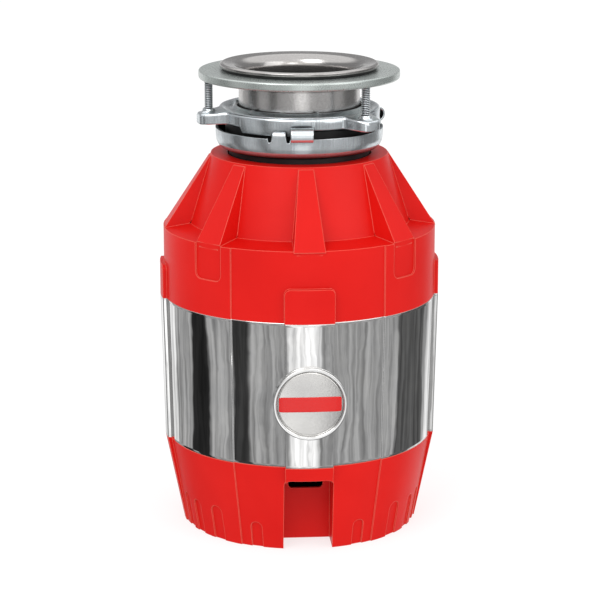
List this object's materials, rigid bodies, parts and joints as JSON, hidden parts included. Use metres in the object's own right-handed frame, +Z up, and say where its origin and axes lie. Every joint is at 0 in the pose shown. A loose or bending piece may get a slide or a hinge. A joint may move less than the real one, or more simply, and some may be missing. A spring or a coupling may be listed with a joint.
{
  "type": "kitchen garbage disposal",
  "caption": "Upright food waste disposer: ribbed moulded shells, bright centre band, round badge, threaded clamp mount with a turning ring, and a stainless sink flange.",
  "frame": {"origin": "on the vertical axis of the disposer, at the plane of its feet", "axes": "+Z up along the rotor axis, front with the badge towards -Y, discharge outlet towards +Y"},
  "size_m": [0.2038, 0.2092, 0.3393],
  "materials": {
    "red_plastic": "satin moulded, fine grain",
    "bright_chrome": "mirror bright",
    "badge_enamel": "domed clear over silver",
    "badge_red": "gloss enamel",
    "stainless": "brushed round the axis",
    "black_rubber": "matte",
    "grey_cast": "pale grey satin",
    "zinc_steel": "zinc plated, streaked",
    "zinc_screws": "zinc plated",
    "brass": "copper segments",
    "green_screw": "green earth screw",
    "black_nylon": "moulded nylon",
    "reset_red": "gloss",
    "cast_aluminium": "die cast",
    "foam": "open cell foam",
    "motor_steel": "oiled steel",
    "ferrite": "sintered ferrite",
    "copper": "enamelled copper wire",
    "carbon": "graphite",
    "spring_steel": "drawn wire"
  },
  "bodies": {
    "housing": {"acoustic_liner": "foam", "backup_flange": "grey_cast", "badge": "bright_chrome", "badge_bar": "badge_red", "badge_face": "badge_enamel", "bottom_cover": "black_nylon", "brush_holders": "black_nylon", "brush_springs": "spring_steel", "carbon_brushes": "carbon", "chrome_band": "bright_chrome", "cord_gland": "black_nylon", "cover_screws": "zinc_screws", "cushion_mount": "black_rubber", "drain_chamber": "cast_aluminium", "field_magnets": "ferrite", "ground_screw": "green_screw", "hopper": "black_nylon", "hopper_gasket": "black_rubber", "hopper_screws": "zinc_screws", "lower_bearing_balls": "motor_steel", "lower_bearing_outer_race": "motor_steel", "lower_end_bell": "cast_aluminium", "lower_shell": "red_plastic", "motor_can": "motor_steel", "overload_protector": "black_nylon", "rectifier": "black_nylon", "reset_spring": "spring_steel", "shaft_seal": "black_rubber", "shell_screws": "zinc_screws", "shredder_ring": "stainless", "sink_flange": "stainless", "sink_gasket": "black_rubber", "snap_ring": "zinc_steel", "through_bolts": "zinc_screws", "upper_bearing_balls": "motor_steel", "upper_bearing_outer_race": "motor_steel", "upper_mounting_ring": "zinc_steel", "upper_shell": "red_plastic"},
    "splash_guard_body": {"splash_guard": "black_rubber"},
    "mounting_screw_1_body": {"mounting_screw_1": "zinc_screws"},
    "mounting_screw_2_body": {"mounting_screw_2": "zinc_screws"},
    "mounting_screw_3_body": {"mounting_screw_3": "zinc_screws"},
    "mount_ring_body": {"lower_mounting_ring": "zinc_steel", "wrench_sleeves": "zinc_steel"},
    "rotor": {"rotor_core": "motor_steel", "rotor_windings": "copper", "commutator": "brass", "motor_shaft": "motor_steel", "turntable": "stainless", "turntable_nut": "zinc_screws", "impeller_pins": "zinc_screws", "slinger": "black_nylon", "upper_bearing_inner_race": "motor_steel", "lower_bearing_inner_race": "motor_steel"},
    "impeller_1_body": {"impeller_1": "stainless"},
    "impeller_2_body": {"impeller_2": "stainless"},
    "reset_button_body": {"reset_button": "reset_red"}
  },
  "joints": [
    {"name": "rotor_spin", "type": "hinge", "parent": "housing", "child": "rotor", "pos_m": [0, 0, 0.19], "axis": [0, 0, 1], "continuous": true},
    {"name": "impeller_1_swing", "type": "hinge", "parent": "rotor", "child": "impeller_1_body", "pos_m": [0.04, 0, 0.223], "axis": [0, 0, 1], "continuous": true},
    {"name": "impeller_2_swing", "type": "hinge", "parent": "rotor", "child": "impeller_2_body", "pos_m": [-0.04, 0, 0.223], "axis": [0, 0, 1], "continuous": true},
    {"name": "mount_ring_turn", "type": "hinge", "parent": "housing", "child": "mount_ring_body", "pos_m": [0, 0, 0.285], "axis": [0, 0, 1], "range_deg": [0, 22]},
    {"name": "mounting_screw_1_slide", "type": "slide", "parent": "housing", "child": "mounting_screw_1_body", "axis": [0, 0, 1], "range_m": [-0.02, 0]},
    {"name": "mounting_screw_2_slide", "type": "slide", "parent": "housing", "child": "mounting_screw_2_body", "axis": [0, 0, 1], "range_m": [-0.02, 0]},
    {"name": "mounting_screw_3_slide", "type": "slide", "parent": "housing", "child": "mounting_screw_3_body", "axis": [0, 0, 1], "range_m": [-0.02, 0]},
    {"name": "reset_press", "type": "slide", "parent": "housing", "child": "reset_button_body", "axis": [0, 0, 1], "range_m": [0, 0.0025], "stiffness_N_per_m": 400, "springref_m": -0.001, "deforming": ["reset_spring"]},
    {"name": "splash_guard_lift", "type": "slide", "parent": "housing", "child": "splash_guard_body", "axis": [0, 0, 1], "range_m": [0, 0.055]}
  ]
}
